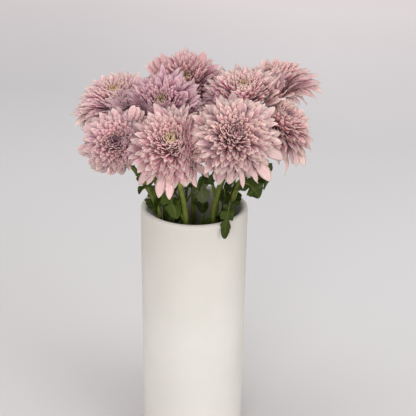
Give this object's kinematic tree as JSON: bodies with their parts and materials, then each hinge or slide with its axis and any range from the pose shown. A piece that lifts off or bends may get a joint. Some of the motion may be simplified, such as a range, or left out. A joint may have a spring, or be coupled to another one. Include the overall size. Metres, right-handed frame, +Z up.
{
  "type": "cut chrysanthemums in a jar",
  "caption": "Tall plain cylinder jar of water holding a full bunch of cut double chrysanthemums with dusty-pink pointed petals and lobed green leaves, as a free-standing arrangement.",
  "frame": {"origin": "centre of the jar's foot, on the surface it stands on", "axes": "+Z up along the jar's axis; the side shown in the picture faces -Y, with +X to its right"},
  "size_m": [0.2779, 0.2348, 0.4533],
  "materials": {
    "jar": "matte, warm off-white",
    "water": "clear water",
    "stem_and_leaf": "fresh green stem and leaf, matte",
    "petal": "soft matte petals, dusty pink with paler tips"
  },
  "bodies": {
    "root": {"jar": "jar", "water": "water", "stem_front_left": "stem_and_leaf", "stem_front_right": "stem_and_leaf", "stem_middle": "stem_and_leaf", "stem_upper_left": "stem_and_leaf", "stem_lower_left": "stem_and_leaf", "stem_top_back": "stem_and_leaf", "stem_upper_right": "stem_and_leaf", "stem_back_right": "stem_and_leaf", "stem_lower_right": "stem_and_leaf", "bloom_front_left": "petal", "bloom_front_right": "petal", "bloom_middle": "petal", "bloom_upper_left": "petal", "bloom_lower_left": "petal", "bloom_top_back": "petal", "bloom_upper_right": "petal", "bloom_back_right": "petal", "bloom_lower_right": "petal"}
  },
  "joints": []
}
